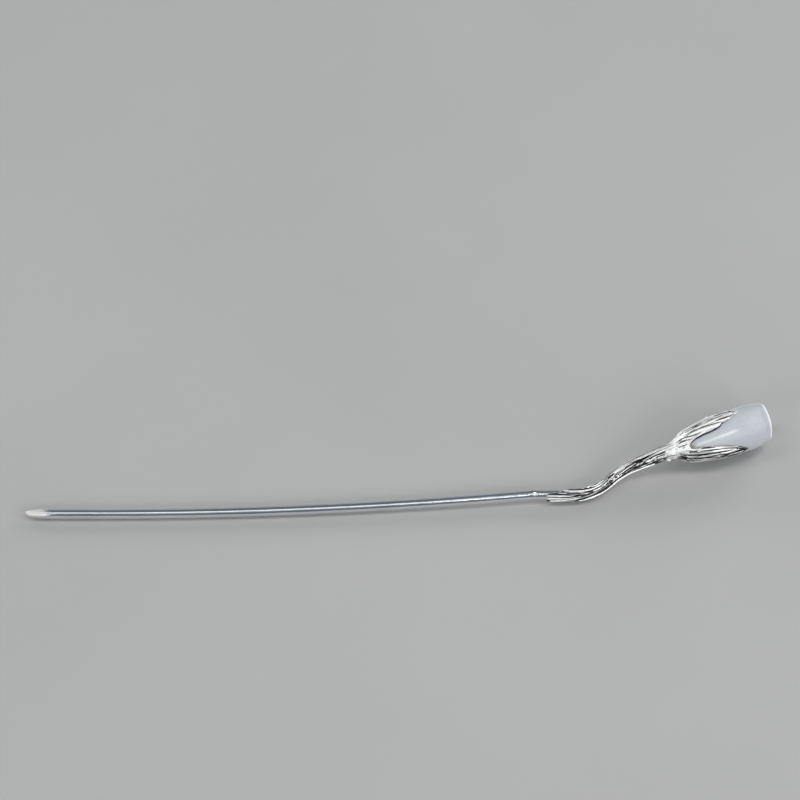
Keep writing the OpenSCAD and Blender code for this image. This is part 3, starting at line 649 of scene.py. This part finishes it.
def sepal(k):
    """A sepal in rows from the notches to its tip: its two sides, their darkness with painted shade, its
    wear with painted light, and its fibre.
    """
    s = np.linspace(NOTCH_S, TIP_S, SEPAL_ROWS + 1)[1:, None]
    u = np.linspace(-1, 1, SEPAL_COLS + 1)[None, :]
    low, high = edge_at(k, s, 1), edge_at(k, s, 2)
    way = low + (u + 1) / 2 * (high - low)
    depth = np.broadcast_to(s, way.shape)
    thick = np.interp(depth, SEPAL_THICK[:, 0], SEPAL_THICK[:, 1]) * (1 - 0.3 * u ** 4)
    bud = bud_radius(depth, way)
    reach = NOTCH_AT + depth - NOTCH_S
    outer = bud + BUD_GAP + thick
    relief, groove, shine = bark_relief(reach, way, outer)
    # Long ribs on the hidden side, which run into the tip
    rib = np.cos(2 * math.pi * (3.6 * u + 0.35 * line_noise(depth * 0.35 + 5 * k, 51)) + 1.7 * k)
    rib = rib * ease((depth - NOTCH_S) / 2.5) * (1 - shown_side(reach, way))
    relief = relief + 0.045 * rib
    # Painted shade in the creases between fibres, less where the metal is bright
    across = np.radians(high - low) * outer / SEPAL_COLS
    crease = creases(relief, np.maximum(across, 0.03))
    crease[:, [0, 1, -2, -1]] = 0
    groove = np.maximum(groove, crease * (1 - 0.9 * shine))
    # Painted shade in the troughs between the ribs
    groove = np.maximum(groove, 0.85 * ease((-rib - 0.62) / 0.3))
    # Rolled edges
    uneven = 0.75 + 0.25 * line_noise(depth * 1.3 + 9 * k, 52)
    rolled = np.exp(-((np.abs(u) - 0.86) / 0.055) ** 2) * uneven
    rolled = rolled * ease((depth - NOTCH_S + 0.3) / 0.5)
    relief = relief * (1 - rolled) + 0.33 * rolled
    groove = groove * (1 - rolled)
    if k == 0:
        # Dark line along the upper sepal's edge at the bud
        groove = np.maximum(groove, ease((u - 0.92) / 0.03) * ease((15 - depth) / 2))
    tone, middle, width = TIP_TONES[k]
    tip = tone * ease((depth - TIP_S + 1.1) / 0.6) * np.exp(-((u - middle) / width) ** 2)
    groove = np.maximum(groove, tip)
    # The edge of the sepal curls in a little, and its tip is thin
    share = np.clip(thick / 0.55, 0.45, 1)
    curl = 0.1 * ease((np.abs(u) - 0.93) / 0.07)
    join = CALYX[-1, 1] - bud_radius(NOTCH_S, 70.0) - BUD_GAP - SEPAL_THICK[0, 1]
    join = join * ease(1 - (depth - NOTCH_S) / 1.2)
    radius = outer + join - share * GROOVE_DEPTH + share * relief - curl
    radius = np.maximum(radius, bud + SCENE_GAP + SEPAL_MIN)
    # Painted shade on the inner side, set apart along the two edges
    first_shade, last_shade = EDGE_SHADES[k]
    inner = np.where(u < -0.97, first_shade, np.where(u > 0.97, last_shade, INNER_SHADE))
    straight = np.radians(np.broadcast_to(RING_START + 120 * k + 60 * (u + 1), way.shape))
    return (
        on_head(depth, radius, way),
        on_head(depth, bud + SCENE_GAP, way),
        groove,
        np.broadcast_to(inner, way.shape),
        shine,
        unrolled(reach, straight, CALYX[-1, 1]),
    )


def build_twig():
    """The bark and the sepals as one closed mesh, built in rings as the solid is."""
    direction, closed, groove, shine, fibre = closed_bark()
    sepals = [np.concatenate(rows, axis=1) for rows in zip(*(sepal(k) for k in range(3)))]
    outside, inside, out_tone, in_shade, out_shine, out_fibre = sepals

    # Socket for the stub, cup behind the bud, and post
    socket_end = BEND_END[0] + STUB_LEN + SOCKET_GAP
    socket = []
    for x in (np.full(RING_COLS, socket_end), closed[0, :, 0]):
        centre = np.stack([x, np.full_like(x, BEND_END[1]), np.full_like(x, BEND_END[2])], -1)
        socket.append(around(centre, np.array([1.0, 0, 0]), np.full_like(x, SOCKET_R), direction[0]))
    ways = direction[-1]
    cup = [on_head(s, bud_radius(s, ways) + SCENE_GAP, ways) for s in (NOTCH_S, 4.0, CUP_RING)]
    post = [on_head(s, POST_R, ways) for s in (CUP_RING, CUP_FLOOR + POST_LEN)]

    def plain(*values):
        return [np.full(RING_COLS, float(value)) for value in values]

    rings = [*socket, *closed, *outside, *inside[::-1], *cup, *post]
    # Painted shade deep in the socket, in the cup behind the bud, on the post and at their two end points
    tones = [*plain(1, 0.15), *groove, *out_tone, *in_shade, *plain(0.4, 1, 1, 1, 1)]
    shines = [*plain(0, 0), *shine, *out_shine, *(0 * out_shine), *plain(0, 0, 0, 0, 0)]
    fibres = [*socket, *fibre, *out_fibre, *out_fibre[::-1], *cup, *post]
    starts = np.concatenate([[0], np.cumsum([len(ring) for ring in rings])])
    outer_notch = 1 + len(closed)
    inner_notch = outer_notch + 2 * SEPAL_ROWS + 1

    def at(r, k, col):
        """Number of a point in ring r. Past the notches the sepals share no column."""
        if outer_notch < r < inner_notch:
            return starts[r] + k * (SEPAL_COLS + 1) + col
        return starts[r] + (k * SEPAL_COLS + col) % RING_COLS

    def quad(*corners):
        return np.atleast_2d(np.stack([at(*corner) for corner in corners], -1))

    quads = []
    col = np.arange(SEPAL_COLS)
    for r in range(len(rings) - 1):
        for k in range(3):
            quads.append(quad((r, k, col), (r + 1, k, col), (r + 1, k, col + 1), (r, k, col + 1)))
    # Walls along the two edges of each sepal
    end = SEPAL_COLS
    for i in range(SEPAL_ROWS):
        out, back = outer_notch + i, inner_notch - i
        for k in range(3):
            quads.append(quad((out, k, 0), (back, k, 0), (back - 1, k, 0), (out + 1, k, 0)))
            quads.append(quad((out, k, end), (out + 1, k, end), (back - 1, k, end), (back, k, end)))

    # A fan closes the socket's end and the post's
    ends = np.array([[socket_end, *BEND_END[1:]], HEAD_BASE + (CUP_FLOOR + POST_LEN) * HEAD_DIR])
    ring = np.arange(RING_COLS)
    after = (ring + 1) % RING_COLS
    tip = np.full(RING_COLS, starts[-1])
    fans = [np.stack([tip, ring, after], -1), np.stack([tip + 1, starts[-2] + after, starts[-2] + ring], -1)]
    points = np.vstack([*rings, ends])
    # The bark stays just over the floor and just under the top of the part's box
    points[:, 2] = np.clip(points[:, 2], 0.02, CAD_BOX[1][2] / MM - 0.002)
    values = {
        "groove": np.concatenate([*tones, [1, 1]]),
        "fibre": np.vstack([*fibres, ends]),
        "shine": np.concatenate([*shines, [0, 0]]),
    }
    return make_mesh("twig_and_sepals", points, np.vstack(quads), np.vstack(fans), values)


def build_bud():
    """The bud, with its soft edges, its slanted end and the hole for the post."""
    ways = BUD_EDGE_AT + 360 * np.arange(BUD_COLS) / BUD_COLS
    stops = np.concatenate([np.linspace(0, 13, 92), np.linspace(13, len(BUD) - 1.02, 46)[1:]])
    rings = []
    values = {"stain": [], "rim": [], "vein": [], "fold": []}
    for s, r in curve(BUD, stops)[::-1]:
        domed = max(r - BUD_INSET, 0.02) * soft_edges(ways)
        radius = np.where(s < 25.2, bud_radius(s, ways), domed)
        # The end slants back
        back = END_SLANT * ease((s - SLANT_FROM) / (RIM_S - SLANT_FROM)) * (r / RIM_R) ** 2
        back = back * (1 - np.cos(np.radians(ways - SLANT_TO))) / 2
        rings.append(on_head(s - back - BUD_INSET * ease((s - 20) / 5), radius, ways))
        # A brown spot where the two sepals meet, and a streak from it along the lower one
        spot = np.exp(-((s - 5.2) / 0.7) ** 2 - (turn(ways, 132.5) / 7.0) ** 2)
        streak = np.exp(-((s - 6.4) / 1.3) ** 2 - (turn(ways, 141.5) / 3.5) ** 2)
        values["stain"].append(np.maximum(spot, 0.7 * streak))
        # Painted highlight round the rim of the domed end
        values["rim"].append(np.full(BUD_COLS, math.exp(-((s - 25.55) / 0.24) ** 2)))
        # Painted highlight along the crisp ridge near the sepals
        crest = np.exp(-(turn(ways, ridge_way(s)) / 3.9) ** 2)
        rise = 0.55 * ease((s - 5.0) / 2) + 0.45 * ease((s - 9) / 4)
        values["vein"].append(crest * rise * ease((17.6 - s) / 2.4))
        # Painted shade: a dark line along a petal's fold near the upper edge, with a soft shade under it and
        # along the end
        middle = np.interp(s, (18.5, 22.4, 24.8), (62, 65.5, 73))
        line = np.exp(-(turn(ways, middle) / 2.8) ** 2)
        shade = np.exp(-(turn(ways, 72) / 15) ** 2)
        shown = ease((s - 17.5) / 3.5) * ease((25.3 - s) / 0.5)
        end = 0.34 * math.exp(-((s - 24.3) / 0.8) ** 2) * ease((165 - ways % 360) / 30)
        values["fold"].append(np.maximum((0.3 * line + 0.5 * shade) * shown, end))
    # Hole for the post. It and the two end points have none of these values
    for s in (BUD[0, 0], BUD[0, 0] + POST_LEN):
        rings.append(on_head(s, POST_R + BUD_GAP, ways))
    values = {key: np.concatenate([*rows, np.zeros(2 * BUD_COLS + 2)]) for key, rows in values.items()}
    end = HEAD_BASE + (BUD[-1, 0] - BUD_INSET) * HEAD_DIR
    deep = HEAD_BASE + (BUD[0, 0] + POST_LEN) * HEAD_DIR
    return make_mesh("jade_flower_bud", *tube(rings, (end, deep)), values)


def build_shaft():
    """The shaft from its slanted tip to the end of the stub, with the bead and small dents of use."""
    depth = SHAFT_R - TIP_R
    taper_r = (TAPER_LEN ** 2 + depth ** 2) / (2 * depth)
    end_x = BEND_END[0] + STUB_LEN
    direction = 360 * np.arange(SHAFT_COLS) / SHAFT_COLS
    a = np.radians(direction)

    def centre(x):
        run = np.clip(x - STRAIGHT_LEN, 0, BEND_LEN)
        rise = BEND_R - np.sqrt(BEND_R ** 2 - run ** 2)
        return np.array([x, rise * math.cos(BEND_TILT), SHAFT_R + rise * math.sin(BEND_TILT)])

    def profile(x):
        taper = SHAFT_R - taper_r + np.sqrt(taper_r ** 2 - np.clip(TAPER_LEN - x, 0, TAPER_LEN) ** 2)
        bead = (BEAD_R - SHAFT_R) * np.exp(-((x - BEND_END[0]) / 0.55) ** 2)
        return np.where(x < TAPER_LEN, taper, SHAFT_R) + bead

    # Tip: the cut plane, and the rings on the cut
    normal = np.array([
        math.cos(TIP_SLANT),
        -math.sin(TIP_SLANT) * math.sin(CUT_LEAN),
        math.sin(TIP_SLANT) * math.cos(CUT_LEAN),
    ])
    cut_x = TIP_R * math.tan(TIP_SLANT)

    def plane_x(radius):
        return cut_x - (normal[1] * np.cos(a) + normal[2] * np.sin(a)) * radius / normal[0]

    start = plane_x(TIP_R)
    for _ in range(6):
        start = plane_x(profile(start))
    edge_r = profile(start)
    rings = []
    for share in (0.25, 0.5, 0.75, 0.92, 0.98):
        radius = edge_r * share
        x = plane_x(radius) + 0.05 * ease((share - 0.8) / 0.2)
        rings.append(np.stack([x, radius * np.cos(a), SHAFT_R + radius * np.sin(a)], -1))

    # Rings along the wire: few on the taper, then one about every 0.23 mm
    shares = np.concatenate([np.linspace(0.0, 0.04, 8)[1:], np.linspace(0.04, 0.98, SHAFT_ROWS + 1)[1:]])
    stops = FIRST_RING + shares * (end_x - FIRST_RING)
    stops = np.concatenate([stops, np.linspace(stops[-1], end_x, 12)[1:]])
    for x in stops:
        # Rings near the tip lean with the cut, and the others are square to the path
        lean = ease(1 - (x - FIRST_RING) / LEAN_LEN)
        xs = x + start * lean
        ahead = centre(x + 0.35) - centre(x - 0.35)
        axis = ahead / np.linalg.norm(ahead)
        # The wire is round, and then worn: shallow waves and dents that only ever take metal away
        places = np.stack([xs * 0.35, 1.6 * np.cos(a), 1.6 * np.sin(a)], -1)
        radius = profile(xs) - 0.01 * np.maximum(noise(places, 31), 0)
        radius = radius - 0.018 * np.maximum(noise(places * 2.3, 32) - 0.55, 0)
        ring = around(centre(x), axis, radius, direction)
        ring[:, 0] += xs - x
        rings.append(ring)
    points, quads, fans = tube(rings, (centre(cut_x), centre(end_x)))
    points[:, 2] = np.maximum(points[:, 2], 0.0)
    wear = ease((7.5 - points[:, 0]) / 4.5)
    # These rings run the other way round than the bud's, so their faces are turned over
    return make_mesh("silver_shaft", points, quads[:, [0, 3, 2, 1]], fans[:, [0, 2, 1]], {"wear": wear})


class Nodes:
    """Short names for the nodes of one material."""

    def __init__(self, name):
        self.material = bpy.data.materials.new(name)
        self.material.use_nodes = True
        self.tree = self.material.node_tree
        self.shader = self.tree.nodes["Principled BSDF"]

    def put(self, node, inputs):
        """Fill inputs by name or number: a socket is linked, and a value is set. None leaves one alone."""
        for key, value in inputs.items():
            target = node.inputs[key]
            if isinstance(value, bpy.types.NodeSocket):
                self.tree.links.new(value, target)
            elif isinstance(value, tuple) and len(target.default_value) == 4:
                target.default_value = (*value, 1)
            elif value is not None:
                target.default_value = value

    def add(self, kind, inputs, **settings):
        node = self.tree.nodes.new(kind)
        for key, value in settings.items():
            setattr(node, key, value)
        self.put(node, inputs)
        return node

    def finish(self, inputs):
        """Fill the shader's inputs, and give the material."""
        self.put(self.shader, inputs)
        return self.material

    def attribute(self, name, output="Fac"):
        return self.add("ShaderNodeAttribute", {}, attribute_name=name).outputs[output]

    def ramp(self, source, *stops):
        """A colour ramp. A plain number stands for a grey."""
        node = self.add("ShaderNodeValToRGB", {"Fac": source})
        elements = node.color_ramp.elements
        while len(elements) < len(stops):
            elements.new(0.5)
        for element, (at, colour) in zip(elements, stops):
            element.position = at
            element.color = (*colour, 1) if isinstance(colour, tuple) else (colour, colour, colour, 1)
        return node.outputs["Color"]

    def mix(self, factor, a, b):
        return self.add("ShaderNodeMix", {0: factor, 6: a, 7: b}, data_type="RGBA").outputs[2]

    def math(self, operation, a, b=None):
        return self.add("ShaderNodeMath", {0: a, 1: b}, operation=operation).outputs[0]

    def noise(self, scale, detail, stretch=(1, 1, 1), source=None, rough=0.5):
        source = source or self.add("ShaderNodeTexCoord", {}).outputs["Object"]
        place = self.add("ShaderNodeMapping", {"Vector": source, "Scale": stretch}).outputs["Vector"]
        inputs = {"Vector": place, "Scale": scale, "Detail": detail, "Roughness": rough}
        return self.add("ShaderNodeTexNoise", inputs).outputs["Fac"]

    def bump(self, height, distance, strength, normal=None):
        inputs = {"Height": height, "Distance": distance, "Strength": strength, "Normal": normal}
        return self.add("ShaderNodeBump", inputs).outputs["Normal"]


def bark_silver():
    """Cast silver: bright ridges, dark lines along the fibres, and grooves blackened by oxide and painted
    shade.
    """
    n = Nodes("bark_silver")
    groove = n.attribute("groove")
    shine = n.attribute("shine")
    fibre = n.attribute("fibre", "Vector")
    streaks = n.noise(1.0, 1.5, (0.09, 1.5, 1.5), fibre)
    grain = n.noise(2.0, 2.0, (0.12, 1.8, 1.8), fibre, 0.55)
    fine = n.noise(9.0, 2.0, (0.7, 1.6, 1.6), fibre, 0.6)
    crest = n.ramp(grain, (0.3, (0.8, 0.8, 0.81)), (0.5, 0.96), (0.8, (0.98, 0.98, 0.97)))
    crest = n.mix(shine, crest, (0.97, 0.97, 0.965))
    # Dark lines and thinner hairlines, both weaker on the bright places, which are worn or partly painted
    # light
    worn = n.math("MULTIPLY", shine, 0.55)
    line = n.math("MULTIPLY", n.ramp(streaks, (0.38, 1), (0.47, 0)), n.math("SUBTRACT", 1.0, worn))
    crest = n.mix(line, crest, (0.12, 0.12, 0.13))
    hair = n.noise(1.0, 0.0, (0.06, 1.5, 1.5), fibre)
    hair = n.ramp(n.math("ABSOLUTE", n.math("SUBTRACT", hair, 0.5)), (0.012, 1), (0.045, 0))
    hair = n.math("MULTIPLY", hair, n.math("SUBTRACT", 0.9, worn))
    crest = n.mix(hair, crest, (0.05, 0.05, 0.055))
    # Near black in the grooves, for oxide and painted shade
    ground = n.ramp(grain, (0.5, (0.01, 0.011, 0.013)), (0.68, (0.1, 0.1, 0.11)))
    deep = n.math("ADD", groove, n.math("MULTIPLY", n.math("SUBTRACT", fine, 0.5), 0.3))
    rough = n.ramp(deep, (0.1, 0.32), (0.9, 0.55))
    first = n.bump(streaks, 0.0002, 0.5)
    second = n.bump(grain, 0.00006, 0.5, first)
    return n.finish({
        "Base Color": n.mix(n.ramp(deep, (0.3, 0), (0.85, 1)), crest, ground),
        "Roughness": n.math("ADD", rough, n.math("MULTIPLY", shine, 0.22)),
        "Metallic": 1.0,
        "Normal": n.bump(fine, 0.00003, 0.5, second),
    })


def polished_silver():
    """Drawn silver wire: fine scratches lengthwise, a cloudy tone, and a duller worn tip."""
    n = Nodes("polished_silver")
    scratches = n.noise(1.0, 3.0, (60, 2600, 2600), rough=0.65)
    worn = n.attribute("wear")
    colour = n.ramp(n.noise(140.0, 3.0), (0.3, (0.83, 0.84, 0.87)), (0.7, (0.9, 0.91, 0.93)))
    rough = n.math("ADD", n.math("MULTIPLY", scratches, 0.14), n.math("MULTIPLY", worn, 0.42))
    first = n.bump(scratches, 0.000012, 0.5)
    return n.finish({
        "Base Color": n.mix(worn, colour, (0.7, 0.69, 0.68)),
        "Roughness": n.math("ADD", rough, 0.07),
        "Metallic": 1.0,
        "Normal": n.bump(n.noise(420.0, 2.0), 0.00003, 0.35, first),
    })


def white_jade():
    """Pale mottled jade with painted shade along a petal's fold, a painted highlight on the rim and on a
    ridge, and a stain at the calyx.
    """
    n = Nodes("white_jade")
    specks = n.noise(1500.0, 2.0)
    cloud = n.noise(190.0, 4.0, rough=0.6)
    colour = n.ramp(cloud, (0.3, (0.462, 0.488, 0.526)), (0.7, (0.5, 0.524, 0.56)))
    colour = n.mix(n.ramp(specks, (0.45, 0), (0.75, 0.13)), colour, (0.8, 0.83, 0.86))
    # Painted shade along the fold, painted highlights on the rim and the ridge, and a brown stain
    for name, strength, tint in (
        ("fold", 0.55, (0.2, 0.21, 0.22)),
        ("rim", 1.0, (0.86, 0.88, 0.9)),
        ("vein", 0.64, (0.94, 0.94, 0.93)),
        ("stain", 0.9, (0.25, 0.18, 0.07)),
    ):
        colour = n.mix(n.math("MULTIPLY", n.attribute(name), strength), colour, tint)
    return n.finish({
        "Base Color": colour,
        "Roughness": 0.42,
        "IOR": 1.5,
        "Subsurface Weight": 0.35,
        "Subsurface Scale": 0.0016,
        "Subsurface Radius": (1.0, 1.0, 1.05),
        "Normal": n.bump(specks, 0.00002, 0.25),
    })


def pale_floor():
    """A plain pale floor with a faint cloud in its grey."""
    n = Nodes("pale_floor")
    return n.finish({"Base Color": n.ramp(n.noise(9.0, 3.0), (0.2, 0.365), (0.8, 0.395)), "Roughness": 0.7})


# Camera at the photograph's viewing angle
ELEVATION = math.radians(50)
CAMERA_DISTANCE = 0.6616
LOOK_AT = (-0.00029, 0.02266, -0.00005)
camera_data = bpy.data.cameras.new("camera")
camera_data.lens = 120
camera_data.sensor_width = 36
camera_data.clip_start = 0.01
camera = add_object("camera", camera_data)
heading = np.array([0, -math.cos(ELEVATION), math.sin(ELEVATION)])
camera.location = LOOK_AT + CAMERA_DISTANCE * heading
camera.rotation_euler = (math.pi / 2 - ELEVATION, 0, 0)
bpy.context.scene.camera = camera


def soft_box(name, heading, size, brightness, distance=1.0, colour=(1.0, 0.98, 0.96)):
    """A soft box that faces the middle of the stick from a heading. Brightness 1 shows as white.
    Its size and distance are in metres."""
    light = bpy.data.lights.new(name, "AREA")
    light.shape = "RECTANGLE"
    light.size, light.size_y = size
    light.energy = brightness * math.pi * size[0] * size[1]
    light.color = colour
    lamp = add_object(name, light)
    place = distance * np.array(heading) / math.sqrt(sum(v * v for v in heading))
    lamp.location = place
    tilt = math.acos(place[2] / np.linalg.norm(place))
    lamp.rotation_euler = (tilt, 0, math.atan2(place[1], place[0]) + math.pi / 2)


# Stage: a plain pale floor just under the stick, soft boxes all round, and a dim bluish room
FLOOR_HALF = 2.0
FLOOR_DROP = 0.0001
floor_mesh = bpy.data.meshes.new("floor")
floor_corners = [(x * FLOOR_HALF, y * FLOOR_HALF, 0) for x, y in ((-1, -1), (1, -1), (1, 1), (-1, 1))]
floor_mesh.from_pydata(floor_corners, [], [(0, 1, 2, 3)])
floor_mesh.materials.append(pale_floor())
floor = add_object("floor", floor_mesh)
floor.location.z = -FLOOR_DROP

soft_box("top_box", (-0.06, -0.33, 0.94), (0.42, 0.38), 0.95)
soft_box("back_box", (0.0, 0.93, 0.37), (0.9, 0.45), 0.26, colour=(1.0, 0.975, 0.95))
soft_box("top_right_box", (0.42, 0.05, 0.85), (0.28, 0.5), 6.6)
soft_box("top_left_box", (-0.55, 0.0, 0.8), (0.26, 0.48), 4.4)
soft_box("back_left_box", (-0.6, 0.72, 0.32), (0.42, 0.32), 5.7)
soft_box("back_right_box", (0.62, 0.7, 0.32), (0.52, 0.34), 6.4)
soft_box("left_box", (-0.9, -0.1, 0.38), (0.38, 0.38), 3.0)
soft_box("right_box", (0.9, -0.3, 0.38), (0.38, 0.38), 4.5)
soft_box("front_box", (-0.04, -0.68, 0.82), (0.24, 0.24), 0.34, 1.1)
soft_box("key_box", (0.2, -0.6, 0.78), (0.18, 0.08), 5.0)
soft_box("front_right_box", (0.52, -0.8, 0.45), (0.38, 0.36), 6.4)
soft_box("front_left_box", (-0.52, -0.8, 0.45), (0.38, 0.36), 5.4)

world = bpy.data.worlds.new("room")
world.use_nodes = True
background = world.node_tree.nodes["Background"]
background.inputs["Color"].default_value = (0.74, 0.91, 1.04, 1)
background.inputs["Strength"].default_value = 0.16
bpy.context.scene.world = world
bpy.context.scene.view_settings.view_transform = "Standard"

# Pieces
twig = build_twig()
twig.data.materials.append(bark_silver())
bud = build_bud()
bud.data.materials.append(white_jade())
shaft = build_shaft()
shaft.data.materials.append(polished_silver())
for piece, node, slot in (
    (shaft, "shaft", "polished_silver"),
    (twig, "twig_calyx", "bark_silver"),
    (bud, "jade_bud", "white_jade"),
):
    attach(piece, "root")
    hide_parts(node)
